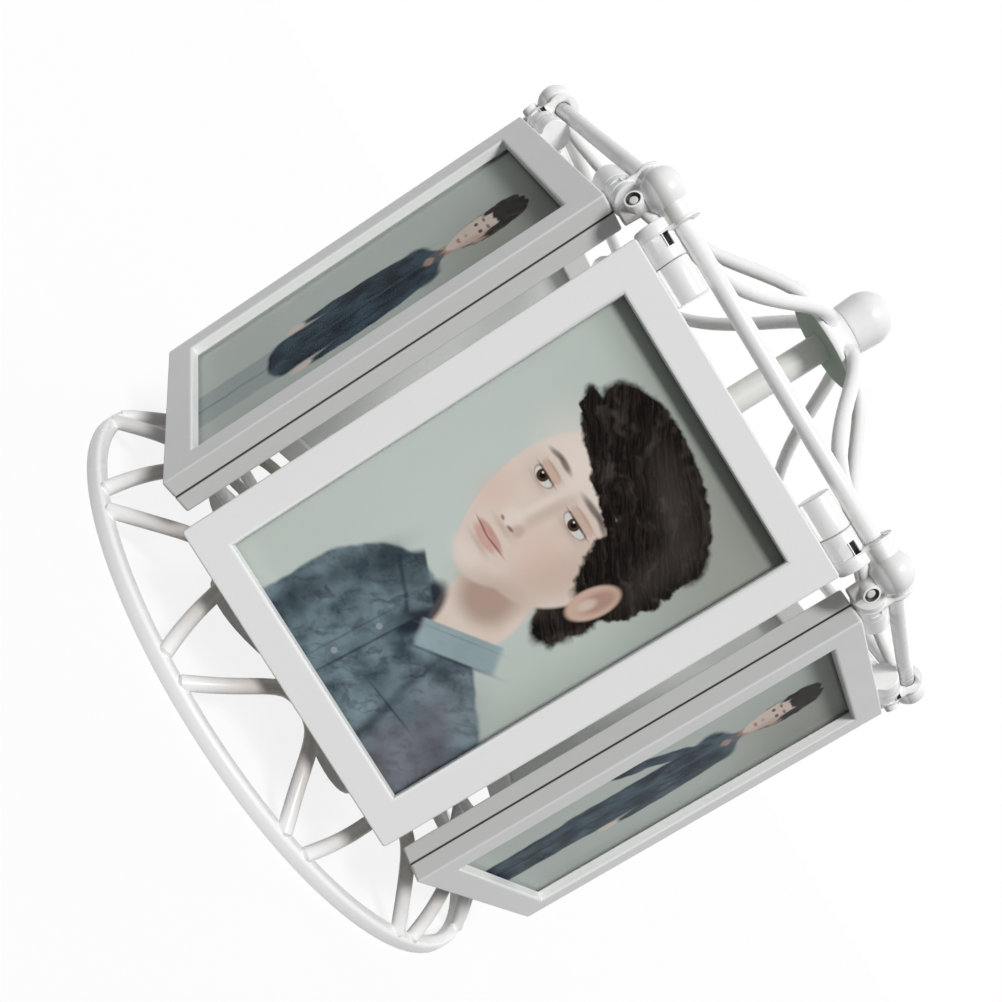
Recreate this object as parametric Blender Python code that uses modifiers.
# Carousel photo frame: six double-sided picture units hang by knuckle hinges from a
# six-sided crown, which turns with its centre column in an openwork ring base.
# Metres, +Z up. The origin is on the turning axis, at the level of the surface below.
# Unit 1 faces -Y, and the others follow it counter-clockwise seen from above.

import math

import bmesh
import bpy
from mathutils import Matrix, Vector

# Clearances
GAP = 0.0003
PIN_PLAY = 0.0003

# Prints, panes and picture frames
UNIT_COUNT = 6
PRINT_WIDTH = 0.102
PRINT_HEIGHT = 0.152
PRINT_THICKNESS = 0.0005
PANE_THICKNESS = 0.0012
LIP = 0.0025
SIDE_RAIL = 0.0125
END_RAIL = 0.0117
HALF_THICKNESS = 0.0064
WINDOW_BEVEL = 0.001
FACE_ROUND = 0.0008
CORNER_ROUND = 0.0012
SEAM_CHAMFER = 0.0004

# Knuckle hinges
KNUCKLE_RADIUS = 0.00565
KNUCKLE_LENGTH = 0.013
BARREL_LENGTH = 0.0131
KNUCKLE_OFFSET = 0.00665
PIN_RADIUS = 0.0018
PIN_END_WALL = 0.002
BARREL_FOOT_WIDTH = 0.007
BARREL_WEB_SINK = 0.0008
POCKET_LENGTH = 0.0044
POCKET_HEIGHT = 0.002
POCKET_DEPTH = 0.0018
POCKET_INSET = 0.0046
POCKET_RISE = 0.002

# Crown ring: corner fittings and bars
CORNER_MARGIN = 0.00805
BAR_RADIUS = 0.003
BAR_RISE = 0.0092
BALL_RADIUS = 0.0075
SLEEVE_RADIUS = 0.0053
SLEEVE_LENGTH = 0.0117
FLANGE_RADIUS = 0.0064
FLANGE_THICKNESS = 0.0012
SOCKET_DEPTH = 0.0055
NECK_RADIUS = 0.0039
NECK_LENGTH = 0.0095
POST_TOP_RADIUS = 0.0034
POST_FOOT_RADIUS = 0.0027
POST_LENGTH = 0.0152
BOSS_RADIUS = 0.003
BOSS_REACH = 0.004
BOSS_RECESS_RADIUS = 0.0024
BOSS_RECESS_DEPTH = 0.0007

# Canopy: hub, flared arms and finial
CROWN_RISE = 0.0401
HUB_RADIUS = 0.0203
HUB_TOP_RADIUS = 0.0111
HUB_RIM = 0.0022
HUB_HEIGHT = 0.0109
HUB_EDGE = 0.00055
HUB_FLARE = ((0.35, 0.55), (0.75, 0.88))
COLUMN_SOCKET_DEPTH = 0.004
ARM_RADIUS = 0.0029
ARM_ROOT_RADIUS = 0.0095
ARM_START_RADIUS = 0.017
ARM_START_RISE = 0.0058
ARM_SHOULDER_REACH = 0.025
ARM_SHOULDER_FALL = 0.006
ARM_SWEEP_REACH = 0.0733
ARM_SWEEP_RISE = 0.0078
FINIAL_RADIUS = 0.0113
FINIAL_FOOT_RADIUS = 0.0105
FINIAL_SKIRT = 0.0085
FINIAL_FOOT_RISE = 0.00085
SPIGOT_RADIUS = 0.003
SPIGOT_LENGTH = 0.0035

# Column and turntable plate
COLUMN_RADIUS = 0.006
COLLAR_RADIUS = 0.011
COLLAR_HEIGHT = 0.005
TAIL_RADIUS = 0.004
PLATE_RADIUS = 0.068
PLATE_LOBE = 0.016
PLATE_HEIGHT = 0.006
PLATE_SKIN = 0.002
PLATE_WALL = 0.0025
PLATE_BOSS_RADIUS = 0.014
PLATE_DROP = 0.0047
NUT_RADIUS = 0.0095
NUT_HEIGHT = 0.004
TAIL_PROUD = 0.0005

# Base: floor ring, arches, hub and bush
RING_RADIUS = 0.130
RING_WIDTH = 0.0058
RING_HEIGHT = 0.0055
RING_ROUND = 0.0016
RING_FOOT_CHAMFER = 0.0005
ARCH_COUNT = 11
ARCH_TURN = math.radians(-28)
ARCH_RADIUS = 0.0028
ARCH_FOOT_GAP = 0.012
ARCH_APEX_INSET = 0.0241
ARCH_APEX_HEIGHT = 0.0285
ARCH_KNEE_INSET = 0.0141
ARCH_KNEE_SPREAD = 0.0115
ARCH_KNEE_HEIGHT = 0.024
ARCH_CREST_SPREAD = 0.0125
ARCH_TOE_SHARE = 0.7
SPOKE_RADIUS = 0.0026
BASE_HUB_RADIUS = 0.020
BASE_HUB_HEIGHT = 0.010
BUSH_WALL = 0.002
BUSH_FLANGE_RADIUS = 0.012
BUSH_FLANGE_HEIGHT = 0.0015
UNIT_CLEARANCE = 0.0013

# Derived: picture units
WINDOW_WIDTH = PRINT_WIDTH - 2 * LIP
WINDOW_HEIGHT = PRINT_HEIGHT - 2 * LIP
UNIT_WIDTH = WINDOW_WIDTH + 2 * SIDE_RAIL
UNIT_HEIGHT = WINDOW_HEIGHT + 2 * END_RAIL
SEAM = GAP / 2
PRINT_NEAR = SEAM
PRINT_FAR = PRINT_NEAR + PRINT_THICKNESS
PANE_NEAR = PRINT_FAR + GAP
PANE_FAR = PANE_NEAR + PANE_THICKNESS
REBATE_DEPTH = PANE_FAR + GAP
FACE_DEPTH = SEAM + HALF_THICKNESS
EDGE_DROP = KNUCKLE_RADIUS + GAP
UNIT_MIDDLE = -EDGE_DROP - UNIT_HEIGHT / 2

# Derived: crown plan and heights
STEP_ANGLE = 2 * math.pi / UNIT_COUNT
SIDE_LENGTH = UNIT_WIDTH + 2 * CORNER_MARGIN
CORNER_RADIUS = SIDE_LENGTH / (2 * math.sin(STEP_ANGLE / 2))
APOTHEM = SIDE_LENGTH / (2 * math.tan(STEP_ANGLE / 2))
UNIT_BOTTOM = ARCH_APEX_HEIGHT + ARCH_RADIUS + UNIT_CLEARANCE
HINGE_HEIGHT = UNIT_BOTTOM + UNIT_HEIGHT + EDGE_DROP
BAR_HEIGHT = HINGE_HEIGHT + BAR_RISE
CANOPY_HEIGHT = BAR_HEIGHT + CROWN_RISE
KNUCKLE_OUTER = SIDE_LENGTH / 2 - KNUCKLE_OFFSET
KNUCKLE_INNER = KNUCKLE_OUTER - KNUCKLE_LENGTH
BARREL_OUTER = KNUCKLE_INNER - GAP
BARREL_INNER = BARREL_OUTER - BARREL_LENGTH
BORE_RADIUS = PIN_RADIUS + PIN_PLAY

# Derived: base and column stack
RING_MIDDLE = RING_RADIUS - RING_WIDTH / 2
ARCH_PITCH = 2 * math.pi / ARCH_COUNT
ARCH_SPREAD = RING_MIDDLE * math.sin((ARCH_PITCH - ARCH_FOOT_GAP / RING_MIDDLE) / 2)
ARCH_APEX_RADIUS = RING_MIDDLE - ARCH_APEX_INSET
ARCH_KNEE_RADIUS = RING_MIDDLE - ARCH_KNEE_INSET
BASE_HUB_BOTTOM = ARCH_APEX_HEIGHT - BASE_HUB_HEIGHT / 2
BASE_HUB_TOP = BASE_HUB_BOTTOM + BASE_HUB_HEIGHT
BUSH_RADIUS = COLUMN_RADIUS + GAP + BUSH_WALL
COLLAR_BOTTOM = BASE_HUB_TOP + GAP + BUSH_FLANGE_HEIGHT + GAP
PLATE_TOP = BASE_HUB_BOTTOM - PLATE_DROP - GAP
PLATE_BOTTOM = PLATE_TOP - PLATE_HEIGHT
NUT_TOP = PLATE_BOTTOM - GAP
COLUMN_BOTTOM = NUT_TOP - NUT_HEIGHT - TAIL_PROUD
COLUMN_TOP = CANOPY_HEIGHT + COLUMN_SOCKET_DEPTH - GAP

# Facets, shading and merging
ARM_STEPS = 8
ARCH_STEPS = 4
FINIAL_STEPS = 7
ROUND_SIDES = 18
RING_SIDES = 44
BALL_SIDES = 12
BALL_RINGS = 6
KNUCKLE_SIDES = 10
ROD_SIDES = 8
SMALL_SIDES = 6
SPOKE_SIDES = 8
NUT_SIDES = 6
PLATE_POINTS = 36
CRISP_ANGLE = math.radians(35)
TURNED_MERGE = 0.00001
TUBE_MERGE = 0.000001
SAME_PLACE = 0.00003

WHITE = (0.86, 0.86, 0.85, 1.0)
SHADED_WHITE = (0.80, 0.81, 0.79, 1.0)
STEEL = (0.62, 0.62, 0.63, 1.0)
CLEAR = (0.93, 0.96, 0.95, 0.25)
SAGE = (0.55, 0.60, 0.56, 1.0)


# Scene helpers

def clear_scene():
    for old in list(bpy.data.objects):
        bpy.data.objects.remove(old, do_unlink=True)


def new_collection(name):
    collection = bpy.data.collections.new(name)
    bpy.context.scene.collection.children.link(collection)
    return collection


def new_material(name, color, roughness, metallic=0.0):
    material = bpy.data.materials.new(name)
    material.use_nodes = True
    shader = material.node_tree.nodes["Principled BSDF"]
    shader.inputs["Base Color"].default_value = color
    shader.inputs["Roughness"].default_value = roughness
    shader.inputs["Metallic"].default_value = metallic
    shader.inputs["Alpha"].default_value = color[3]
    material.diffuse_color = color
    return material


def new_empty(name, parent=None, location=(0.0, 0.0, 0.0), turn=0.0):
    empty = bpy.data.objects.new(name, None)
    parts.objects.link(empty)
    empty.parent = parent
    empty.location = location
    empty.rotation_euler = (0.0, 0.0, turn)
    return empty


def new_part(name, mesh, material, parent, location=(0.0, 0.0, 0.0), turn=0.0):
    part = bpy.data.objects.new(name, mesh)
    parts.objects.link(part)
    part.parent = parent
    part.location = location
    part.rotation_euler = (0.0, 0.0, turn)
    if not mesh.materials:
        mesh.materials.append(material)
    mesh.shade_smooth()
    mesh.set_sharp_from_angle(angle=CRISP_ANGLE)
    return part


# Modelling helpers

def mesh_of(name, bm):
    mesh = bpy.data.meshes.new(name)
    bmesh.ops.recalc_face_normals(bm, faces=bm.faces)
    bm.to_mesh(mesh)
    bm.free()
    return mesh


def tool_body(name, bm):
    body = bpy.data.objects.new(name, mesh_of(name, bm))
    tools.objects.link(body)
    body.hide_render = True
    body.display_type = "WIRE"
    return body


def baked(body, name):
    bpy.context.view_layer.update()
    evaluated = body.evaluated_get(bpy.context.evaluated_depsgraph_get())
    mesh = bpy.data.meshes.new_from_object(evaluated)
    mesh.name = name
    return mesh


def combine(body, other, operation):
    modifier = body.modifiers.new(operation.title(), "BOOLEAN")
    modifier.operation = operation
    modifier.solver = "EXACT"
    modifier.object = other


def finished(body, name):
    mesh = baked(body, name)
    for used in list(tools.objects):
        bpy.data.objects.remove(used, do_unlink=True)
    return mesh


def add_box(bm, size, matrix):
    bmesh.ops.create_cube(bm, size=1.0, matrix=matrix @ Matrix.Diagonal((*size, 1.0)))


def add_rod(bm, radius, start, end, sides=ROD_SIDES, end_radius=None):
    start = Vector(start)
    end = Vector(end)
    axis = end - start
    aim = Vector((0.0, 0.0, 1.0)).rotation_difference(axis).to_matrix().to_4x4()
    bmesh.ops.create_cone(
        bm, cap_ends=True, segments=sides, radius1=radius,
        radius2=radius if end_radius is None else end_radius,
        depth=axis.length, matrix=Matrix.Translation((start + end) / 2) @ aim)


def rod_body(name, radius, start, end, sides=ROD_SIDES, end_radius=None):
    bm = bmesh.new()
    add_rod(bm, radius, start, end, sides, end_radius)
    return tool_body(name, bm)


def turned(name, profile, steps, closed=False):
    bm = bmesh.new()
    points = [bm.verts.new((radius, 0.0, height)) for radius, height in profile]
    for near, far in zip(points, points[1:]):
        bm.edges.new((near, far))
    if closed:
        bm.edges.new((points[-1], points[0]))
    mesh = bpy.data.meshes.new(name)
    bm.to_mesh(mesh)
    bm.free()
    body = bpy.data.objects.new(name, mesh)
    tools.objects.link(body)
    screw = body.modifiers.new("Turn", "SCREW")
    screw.steps = steps
    screw.render_steps = steps
    screw.use_merge_vertices = True
    screw.merge_threshold = TURNED_MERGE
    screw.use_smooth_shade = True
    return body


def arc(centre, radius, start, end, steps):
    points = []
    for i in range(steps + 1):
        angle = math.radians(start + (end - start) * i / steps)
        points.append((centre[0] + radius * math.cos(angle), centre[1] + radius * math.sin(angle)))
    return points


def bezier(t, a, b, c, d):
    s = 1 - t
    return a * s ** 3 + b * 3 * s * s * t + c * 3 * s * t * t + d * t ** 3


def tube_mesh(name, points, radius, resolution=2, end_share=1.0):
    curve = bpy.data.curves.new(name, "CURVE")
    curve.dimensions = "3D"
    curve.bevel_depth = radius
    curve.bevel_resolution = resolution
    curve.use_fill_caps = True
    spline = curve.splines.new("POLY")
    spline.points.add(len(points) - 1)
    for point, place in zip(spline.points, points):
        point.co = (*place, 1.0)
    spline.points[0].radius = end_share
    spline.points[-1].radius = end_share
    tube = bpy.data.objects.new(name, curve)
    tools.objects.link(tube)
    bpy.context.view_layer.update()
    mesh = bpy.data.meshes.new_from_object(tube.evaluated_get(bpy.context.evaluated_depsgraph_get()))
    bpy.data.objects.remove(tube, do_unlink=True)
    bm = bmesh.new()
    bm.from_mesh(mesh)
    bmesh.ops.remove_doubles(bm, verts=bm.verts, dist=TUBE_MERGE)
    bmesh.ops.recalc_face_normals(bm, faces=bm.faces)
    bm.to_mesh(mesh)
    bm.free()
    return mesh


def turned_copies(name, mesh, turns):
    """Copies of a mesh turned about the axis, apart from each other, as one tool."""
    bm = bmesh.new()
    for turn in turns:
        copy = mesh.copy()
        copy.transform(Matrix.Rotation(turn, 4, "Z"))
        bm.from_mesh(copy)
        bpy.data.meshes.remove(copy)
    return tool_body(name, bm)


def unit_turn(index):
    return STEP_ANGLE * index


def corner_turn(index):
    return STEP_ANGLE * (index + 0.5)


def outward(angle, radius, height):
    return Vector((radius * math.sin(angle), -radius * math.cos(angle), height))


# Picture frames

def slab_with_rounds():
    """The outer half's blank: its face towards -Y, its joint face at the seam."""
    bm = bmesh.new()
    middle = -(SEAM + HALF_THICKNESS / 2)
    centre = Matrix.Translation((0.0, middle, UNIT_MIDDLE))
    add_box(bm, (UNIT_WIDTH, HALF_THICKNESS, UNIT_HEIGHT), centre)
    corners = [edge for edge in bm.edges
               if abs(edge.verts[0].co.y - edge.verts[1].co.y) > HALF_THICKNESS / 2]
    bmesh.ops.bevel(bm, geom=corners, offset=CORNER_ROUND, segments=2, profile=0.5,
                    affect="EDGES")
    face_edges = [edge for edge in bm.edges
                  if all(abs(vert.co.y + FACE_DEPTH) < SAME_PLACE for vert in edge.verts)]
    bmesh.ops.bevel(bm, geom=face_edges, offset=FACE_ROUND, segments=2, profile=0.5,
                    affect="EDGES")
    seam_edges = [edge for edge in bm.edges
                  if all(abs(vert.co.y + SEAM) < SAME_PLACE for vert in edge.verts)]
    bmesh.ops.bevel(bm, geom=seam_edges, offset=SEAM_CHAMFER, segments=1, affect="EDGES")
    return tool_body("slab", bm)


def window_cutter():
    """A flared cutter whose slope leaves the bevel round the window."""
    bm = bmesh.new()
    depth = FACE_DEPTH - REBATE_DEPTH
    reach = FACE_DEPTH + depth
    add_box(bm, (WINDOW_WIDTH, reach, WINDOW_HEIGHT), Matrix.Translation((0.0, -reach / 2, UNIT_MIDDLE)))
    flare = bmesh.ops.create_cube(bm, size=1.0)["verts"]
    outer = FACE_DEPTH + WINDOW_BEVEL
    inner = FACE_DEPTH - WINDOW_BEVEL
    for vert in flare:
        at_front = vert.co.y < 0
        spread = 2 * WINDOW_BEVEL if at_front else -WINDOW_BEVEL / 10
        vert.co = Vector((
            math.copysign(WINDOW_WIDTH / 2 + spread, vert.co.x),
            -outer if at_front else -inner,
            UNIT_MIDDLE + math.copysign(WINDOW_HEIGHT / 2 + spread, vert.co.z)))
    return tool_body("window", bm)


def rebate_cutter():
    bm = bmesh.new()
    size = (PRINT_WIDTH + 2 * GAP, REBATE_DEPTH, PRINT_HEIGHT + 2 * GAP)
    add_box(bm, size, Matrix.Translation((0.0, -REBATE_DEPTH / 2, UNIT_MIDDLE)))
    return tool_body("rebate", bm)


def frame_half_mesh():
    slab = slab_with_rounds()
    combine(slab, window_cutter(), "DIFFERENCE")
    combine(slab, rebate_cutter(), "DIFFERENCE")
    return finished(slab, "frame_half")


def sheet_mesh(name, near, far):
    bm = bmesh.new()
    add_box(bm, (PRINT_WIDTH, far - near, PRINT_HEIGHT),
            Matrix.Translation((0.0, -(near + far) / 2, UNIT_MIDDLE)))
    return mesh_of(name, bm)


def barrelled_half_mesh(plain_half):
    """The inner half carries both hinge barrels, each bored from its outer end for a pin."""
    half = turned_copies("half", plain_half, [math.pi])
    foot_height = KNUCKLE_RADIUS / 2
    foot_length = BARREL_LENGTH - GAP
    web_near = SEAM + 2 * SEAM_CHAMFER
    web_far = BARREL_FOOT_WIDTH / 2
    web_height = foot_height + GAP + BARREL_WEB_SINK
    bores = bmesh.new()
    for side in (-1, 1):
        inner = side * BARREL_INNER
        outer = side * BARREL_OUTER
        middle = (inner + outer) / 2
        barrel = rod_body("barrel", KNUCKLE_RADIUS, (inner, 0, 0), (outer, 0, 0), KNUCKLE_SIDES)
        foot = bmesh.new()
        add_box(foot, (foot_length, BARREL_FOOT_WIDTH, foot_height),
                Matrix.Translation((middle, 0.0, -KNUCKLE_RADIUS + foot_height / 2)))
        web = bmesh.new()
        add_box(web, (foot_length - GAP, web_far - web_near, web_height),
                Matrix.Translation((middle, (web_near + web_far) / 2 - GAP,
                                    -KNUCKLE_RADIUS + foot_height - GAP - web_height / 2)))
        combine(half, barrel, "UNION")
        combine(half, tool_body("foot", foot), "UNION")
        combine(half, tool_body("web", web), "UNION")
        bore_end = inner + side * PIN_END_WALL
        add_rod(bores, BORE_RADIUS, (bore_end, 0, 0), (outer + side * GAP, 0, 0), SMALL_SIDES)
    combine(half, tool_body("bores", bores), "DIFFERENCE")
    return finished(half, "barrelled_half")


def build_units(rotor):
    plain_half = frame_half_mesh()
    barrelled_half = barrelled_half_mesh(plain_half)
    pane = sheet_mesh("pane", PANE_NEAR, PANE_FAR)
    photo = sheet_mesh("print", PRINT_NEAR, PRINT_FAR)
    for index in range(UNIT_COUNT):
        name = f"unit_{index + 1}"
        turn = unit_turn(index)
        pivot = new_empty(f"{name}_pivot", rotor, outward(turn, APOTHEM, HINGE_HEIGHT), turn)
        new_part(f"{name}_outer_frame", plain_half, white, pivot)
        new_part(f"{name}_inner_frame", barrelled_half, white, pivot)
        for label, half_turn in (("outer", 0.0), ("inner", math.pi)):
            new_part(f"{name}_{label}_pane", pane, clear, pivot, turn=half_turn)
            new_part(f"{name}_{label}_print", photo, paper, pivot, turn=half_turn)


# Crown

def corner_directions():
    """From a corner along its two crown bars, in the corner's own frame."""
    half_inside = math.pi / 2 - STEP_ANGLE / 2
    return [(side, Vector((side * math.sin(half_inside), math.cos(half_inside), 0.0))) for side in (-1, 1)]


def corner_fitting_mesh():
    """Ball, bar sleeves, arm neck, post and two hinge knuckles with their pins, as one casting."""
    up = Vector((0.0, 0.0, 1.0))
    hinge = -BAR_RISE * up
    bm = bmesh.new()
    bmesh.ops.create_uvsphere(bm, u_segments=BALL_SIDES, v_segments=BALL_RINGS, radius=BALL_RADIUS)
    casting = tool_body("ball", bm)
    neck = rod_body("neck", NECK_RADIUS, (0, 0, 0), (0, NECK_LENGTH, 0))
    post = rod_body("post", POST_FOOT_RADIUS, (0, 0, -POST_LENGTH), (0, 0, -BALL_RADIUS / 2),
                    ROD_SIDES, POST_TOP_RADIUS)
    combine(casting, neck, "UNION")
    combine(casting, post, "UNION")
    cuts = bmesh.new()
    for side, along in corner_directions():
        flange_start = SLEEVE_LENGTH - FLANGE_THICKNESS
        sleeve_end = SLEEVE_LENGTH - FLANGE_THICKNESS / 2
        knuckle_start = KNUCKLE_OFFSET
        knuckle_end = KNUCKLE_OFFSET + KNUCKLE_LENGTH
        pin_end = SIDE_LENGTH / 2 - BARREL_INNER - PIN_END_WALL - GAP
        bodies = [
            rod_body("sleeve", SLEEVE_RADIUS, along * BAR_RADIUS, along * sleeve_end, BALL_SIDES),
            rod_body("flange", FLANGE_RADIUS, along * flange_start, along * SLEEVE_LENGTH, BALL_SIDES),
            rod_body("knuckle", KNUCKLE_RADIUS, hinge + along * knuckle_start,
                     hinge + along * knuckle_end, KNUCKLE_SIDES),
            rod_body("boss", BOSS_RADIUS, hinge, hinge - along * BOSS_REACH, SMALL_SIDES),
            rod_body("pin", PIN_RADIUS, hinge + along * (knuckle_end - KNUCKLE_RADIUS),
                     hinge + along * pin_end, SMALL_SIDES),
        ]
        for body in bodies:
            combine(casting, body, "UNION")
        socket_end = SLEEVE_LENGTH - SOCKET_DEPTH
        add_rod(cuts, BAR_RADIUS + GAP, along * socket_end, along * (SLEEVE_LENGTH + GAP), BALL_SIDES)
        recess_end = BOSS_REACH - BOSS_RECESS_DEPTH
        add_rod(cuts, BOSS_RECESS_RADIUS, hinge - along * recess_end,
                hinge - along * (BOSS_REACH + GAP), SMALL_SIDES)
        outer_side = Vector((side * along.y, -abs(along.x), 0.0))
        aim = Matrix((along, outer_side, up)).transposed().to_4x4()
        pocket_middle = knuckle_start + POCKET_INSET + POCKET_LENGTH / 2
        place = hinge + along * pocket_middle + outer_side * KNUCKLE_RADIUS + up * POCKET_RISE
        add_box(cuts, (POCKET_LENGTH, 2 * POCKET_DEPTH, POCKET_HEIGHT), Matrix.Translation(place) @ aim)
    combine(casting, tool_body("cuts", cuts), "DIFFERENCE")
    return finished(casting, "corner_fitting")


def build_crown_ring(rotor):
    fitting = corner_fitting_mesh()
    bar_end = SIDE_LENGTH / 2 - SLEEVE_LENGTH + SOCKET_DEPTH - GAP
    bm = bmesh.new()
    add_rod(bm, BAR_RADIUS, (-bar_end, 0.0, 0.0), (bar_end, 0.0, 0.0), BALL_SIDES)
    bar = mesh_of("crown_bar", bm)
    for index in range(UNIT_COUNT):
        corner = corner_turn(index)
        new_part(f"corner_fitting_{index + 1}", fitting, white, rotor,
                 outward(corner, CORNER_RADIUS, BAR_HEIGHT), corner)
        turn = unit_turn(index)
        new_part(f"crown_bar_{index + 1}", bar, white, rotor,
                 outward(turn, APOTHEM, BAR_HEIGHT), turn)


# Canopy

def arm_points():
    """One arm's centre line in its corner's vertical plane, with level ends, as a hollow curve."""
    start = Vector((ARM_START_RADIUS, CANOPY_HEIGHT + ARM_START_RISE))
    tip = CORNER_RADIUS - NECK_LENGTH - GAP
    end = Vector((tip - ARM_RADIUS, BAR_HEIGHT))
    shoulder = start + Vector((ARM_SHOULDER_REACH, -ARM_SHOULDER_FALL))
    sweep = end + Vector((-ARM_SWEEP_REACH, ARM_SWEEP_RISE))
    points = [(0.0, -ARM_ROOT_RADIUS, start.y)]
    for i in range(ARM_STEPS + 1):
        place = bezier(i / ARM_STEPS, start, shoulder, sweep, end)
        points.append((0.0, -place.x, place.y))
    points.append((0.0, -tip, BAR_HEIGHT))
    return points


def hub_profile():
    top = CANOPY_HEIGHT + HUB_HEIGHT
    under = CANOPY_HEIGHT
    spigot_floor = top - SPIGOT_LENGTH - GAP
    socket_roof = under + COLUMN_SOCKET_DEPTH
    flare_width = HUB_RADIUS - HUB_TOP_RADIUS
    flare_fall = HUB_HEIGHT - HUB_RIM
    flare = [(HUB_TOP_RADIUS + flare_width * out, top - flare_fall * down) for out, down in HUB_FLARE]
    return [
        (0.0, spigot_floor),
        (SPIGOT_RADIUS + GAP, spigot_floor),
        (SPIGOT_RADIUS + GAP, top),
        (HUB_TOP_RADIUS - HUB_EDGE, top),
        (HUB_TOP_RADIUS, top - HUB_EDGE),
        *flare,
        (HUB_RADIUS, under + HUB_RIM),
        (HUB_RADIUS, under + HUB_EDGE),
        (HUB_RADIUS - HUB_EDGE, under),
        (COLUMN_RADIUS + GAP, under),
        (COLUMN_RADIUS + GAP, socket_roof),
        (0.0, socket_roof),
    ]


def finial_profile():
    seat = CANOPY_HEIGHT + HUB_HEIGHT + GAP
    equator = seat + FINIAL_SKIRT
    dome = arc((0.0, equator), FINIAL_RADIUS, 90, 0, FINIAL_STEPS)
    dome[0] = (0.0, equator + FINIAL_RADIUS)
    return dome + [
        (FINIAL_FOOT_RADIUS, seat + FINIAL_FOOT_RISE),
        (FINIAL_FOOT_RADIUS - GAP, seat),
        (SPIGOT_RADIUS, seat),
        (SPIGOT_RADIUS, seat - SPIGOT_LENGTH),
        (0.0, seat - SPIGOT_LENGTH),
    ]


def build_canopy(rotor):
    arm = tube_mesh("arm", arm_points(), ARM_RADIUS)
    canopy = turned("canopy", hub_profile(), ROUND_SIDES)
    corners = [corner_turn(index) for index in range(UNIT_COUNT)]
    combine(canopy, turned_copies("arms", arm, corners), "UNION")
    new_part("canopy", finished(canopy, "canopy"), white, rotor)
    finial = turned("finial", finial_profile(), ROUND_SIDES)
    new_part("finial", finished(finial, "finial"), white, rotor)


# Column, turntable plate and nut

def column_profile():
    return [
        (0.0, COLUMN_TOP),
        (COLUMN_RADIUS, COLUMN_TOP),
        (COLUMN_RADIUS, COLLAR_BOTTOM + COLLAR_HEIGHT),
        (COLLAR_RADIUS - GAP, COLLAR_BOTTOM + COLLAR_HEIGHT),
        (COLLAR_RADIUS, COLLAR_BOTTOM + COLLAR_HEIGHT - GAP),
        (COLLAR_RADIUS, COLLAR_BOTTOM),
        (COLUMN_RADIUS, COLLAR_BOTTOM),
        (COLUMN_RADIUS, PLATE_TOP + GAP),
        (TAIL_RADIUS, PLATE_TOP + GAP),
        (TAIL_RADIUS, COLUMN_BOTTOM),
        (0.0, COLUMN_BOTTOM),
    ]


def plate_outline(inset):
    """Six soft lobes, one under each corner of the crown."""
    points = []
    for i in range(PLATE_POINTS):
        angle = 2 * math.pi * i / PLATE_POINTS
        radius = PLATE_RADIUS - PLATE_LOBE * math.cos(UNIT_COUNT * angle) - inset
        points.append((radius * math.sin(angle), -radius * math.cos(angle)))
    return points


def plate_slab(name, inset, bottom, top):
    bm = bmesh.new()
    floor = bm.faces.new([bm.verts.new((x, y, bottom)) for x, y in plate_outline(inset)])
    lifted = bmesh.ops.extrude_face_region(bm, geom=[floor])["geom"]
    for vert in lifted:
        if isinstance(vert, bmesh.types.BMVert):
            vert.co.z = top
    return tool_body(name, bm)


def plate_mesh():
    """A lobed tray, open below, with a centre boss bored for the column's tail."""
    plate = plate_slab("plate", 0.0, PLATE_BOTTOM, PLATE_TOP)
    hollow = plate_slab("hollow", PLATE_WALL, PLATE_BOTTOM - GAP, PLATE_TOP - PLATE_SKIN)
    boss = rod_body("boss", PLATE_BOSS_RADIUS, (0, 0, PLATE_BOTTOM), (0, 0, PLATE_TOP - PLATE_SKIN / 2),
                    ROUND_SIDES)
    bore = rod_body("bore", TAIL_RADIUS + GAP, (0, 0, PLATE_BOTTOM - GAP), (0, 0, PLATE_TOP + GAP),
                    ROUND_SIDES)
    combine(plate, hollow, "DIFFERENCE")
    combine(plate, boss, "UNION")
    combine(plate, bore, "DIFFERENCE")
    return finished(plate, "turntable_plate")


def nut_mesh():
    bottom = NUT_TOP - NUT_HEIGHT
    nut = rod_body("nut", NUT_RADIUS, (0, 0, bottom), (0, 0, NUT_TOP), NUT_SIDES)
    combine(nut, rod_body("bore", TAIL_RADIUS + GAP, (0, 0, bottom - GAP), (0, 0, NUT_TOP + GAP),
                          ROUND_SIDES), "DIFFERENCE")
    return finished(nut, "plate_nut")


def build_column(rotor):
    column = turned("column", column_profile(), ROUND_SIDES)
    new_part("column", finished(column, "column"), white, rotor)
    new_part("turntable_plate", plate_mesh(), shaded, rotor)
    new_part("plate_nut", nut_mesh(), steel, rotor)


# Base

def ring_profile():
    inner = RING_RADIUS - RING_WIDTH
    step = RING_ROUND * (1 - math.sqrt(0.5))
    return [
        (inner + RING_ROUND, RING_HEIGHT),
        (RING_RADIUS - RING_ROUND, RING_HEIGHT),
        (RING_RADIUS - step, RING_HEIGHT - step),
        (RING_RADIUS, RING_HEIGHT - RING_ROUND),
        (RING_RADIUS, RING_FOOT_CHAMFER),
        (RING_RADIUS - RING_FOOT_CHAMFER, 0.0),
        (inner + RING_FOOT_CHAMFER, 0.0),
        (inner, RING_FOOT_CHAMFER),
        (inner, RING_HEIGHT - RING_ROUND),
        (inner + step, RING_HEIGHT - step),
    ]


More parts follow.
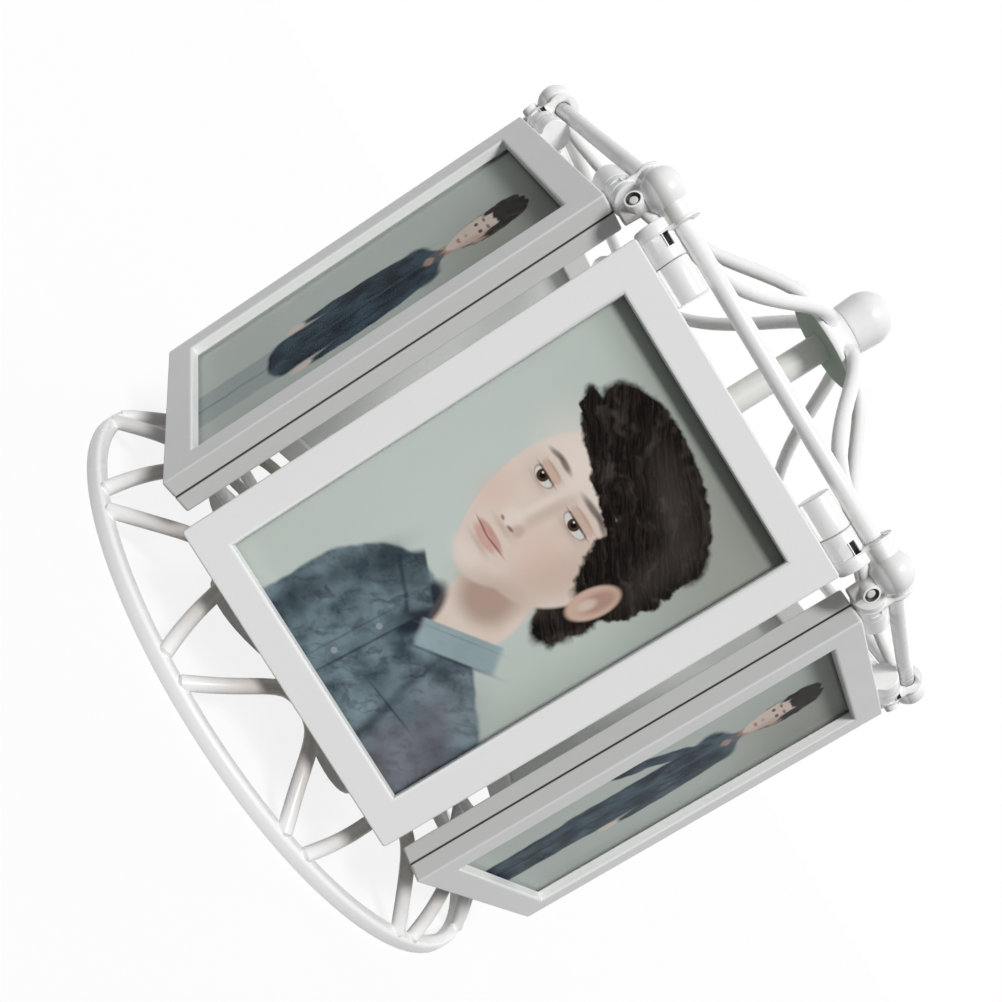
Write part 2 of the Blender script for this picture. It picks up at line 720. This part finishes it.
def arch_points():
    """One arch, from a toe inside the ring, over its apex, to the other toe."""
    foot_reach = math.sqrt(RING_MIDDLE ** 2 - ARCH_SPREAD ** 2)
    toe = Vector((ARCH_SPREAD, foot_reach, RING_HEIGHT / 2))
    foot = Vector((ARCH_SPREAD, foot_reach, RING_HEIGHT))
    knee = Vector((ARCH_KNEE_SPREAD, ARCH_KNEE_RADIUS, ARCH_KNEE_HEIGHT))
    crest = Vector((ARCH_CREST_SPREAD, ARCH_APEX_RADIUS, ARCH_APEX_HEIGHT))
    apex = Vector((0.0, ARCH_APEX_RADIUS, ARCH_APEX_HEIGHT))
    side = [bezier(i / ARCH_STEPS, foot, knee, crest, apex) for i in range(ARCH_STEPS + 1)]
    right = [toe] + side
    left = [Vector((-point.x, point.y, point.z)) for point in reversed(right[:-1])]
    return [(point.x, -point.y, point.z) for point in right + left]


def arch_turns():
    return [ARCH_TURN + ARCH_PITCH * index for index in range(ARCH_COUNT)]


def ring_base_mesh():
    """The floor ring and the arches that rise from it, as one moulding."""
    ring = turned("ring", ring_profile(), RING_SIDES, closed=True)
    arch = tube_mesh("arch", arch_points(), ARCH_RADIUS, end_share=ARCH_TOE_SHARE)
    combine(ring, turned_copies("arches", arch, arch_turns()), "UNION")
    return finished(ring, "ring_base")


def base_hub_mesh():
    """A bored boss with one spoke out to the apex of each arch."""
    profile = [
        (BUSH_RADIUS + GAP, BASE_HUB_TOP),
        (BASE_HUB_RADIUS - SPOKE_RADIUS / 2, BASE_HUB_TOP),
        (BASE_HUB_RADIUS, BASE_HUB_TOP - SPOKE_RADIUS / 2),
        (BASE_HUB_RADIUS, BASE_HUB_BOTTOM),
        (BUSH_RADIUS + GAP, BASE_HUB_BOTTOM),
    ]
    hub = turned("base_hub", profile, ROUND_SIDES, closed=True)
    spoke_start = (BUSH_RADIUS + BASE_HUB_RADIUS) / 2
    spoke_end = ARCH_APEX_RADIUS - ARCH_RADIUS - GAP
    spokes = bmesh.new()
    for turn in arch_turns():
        add_rod(spokes, SPOKE_RADIUS, outward(turn, spoke_start, ARCH_APEX_HEIGHT),
                outward(turn, spoke_end, ARCH_APEX_HEIGHT), SPOKE_SIDES)
    combine(hub, tool_body("spokes", spokes), "UNION")
    return finished(hub, "spoked_hub")


def bush_profile():
    flange_bottom = BASE_HUB_TOP + GAP
    flange_top = flange_bottom + BUSH_FLANGE_HEIGHT
    return [
        (COLUMN_RADIUS + GAP, flange_top),
        (BUSH_FLANGE_RADIUS, flange_top),
        (BUSH_FLANGE_RADIUS, flange_bottom),
        (BUSH_RADIUS, flange_bottom),
        (BUSH_RADIUS, BASE_HUB_BOTTOM),
        (COLUMN_RADIUS + GAP, BASE_HUB_BOTTOM),
    ]


def build_base():
    new_part("ring_base", ring_base_mesh(), white, None)
    new_part("spoked_hub", base_hub_mesh(), white, None)
    bush = turned("bush", bush_profile(), ROUND_SIDES, closed=True)
    new_part("hub_bush", finished(bush, "hub_bush"), shaded, None)


clear_scene()
parts = new_collection("carousel_photo_frame")
tools = new_collection("workshop")
white = new_material("white_plastic", WHITE, 0.35)
shaded = new_material("off_white_plastic", SHADED_WHITE, 0.45)
steel = new_material("steel", STEEL, 0.3, 1.0)
clear = new_material("clear_pane", CLEAR, 0.05)
paper = new_material("photo_paper", SAGE, 0.4)
rotor_pivot = new_empty("rotor_pivot")
build_base()
build_column(rotor_pivot)
build_canopy(rotor_pivot)
build_crown_ring(rotor_pivot)
build_units(rotor_pivot)
bpy.context.view_layer.update()
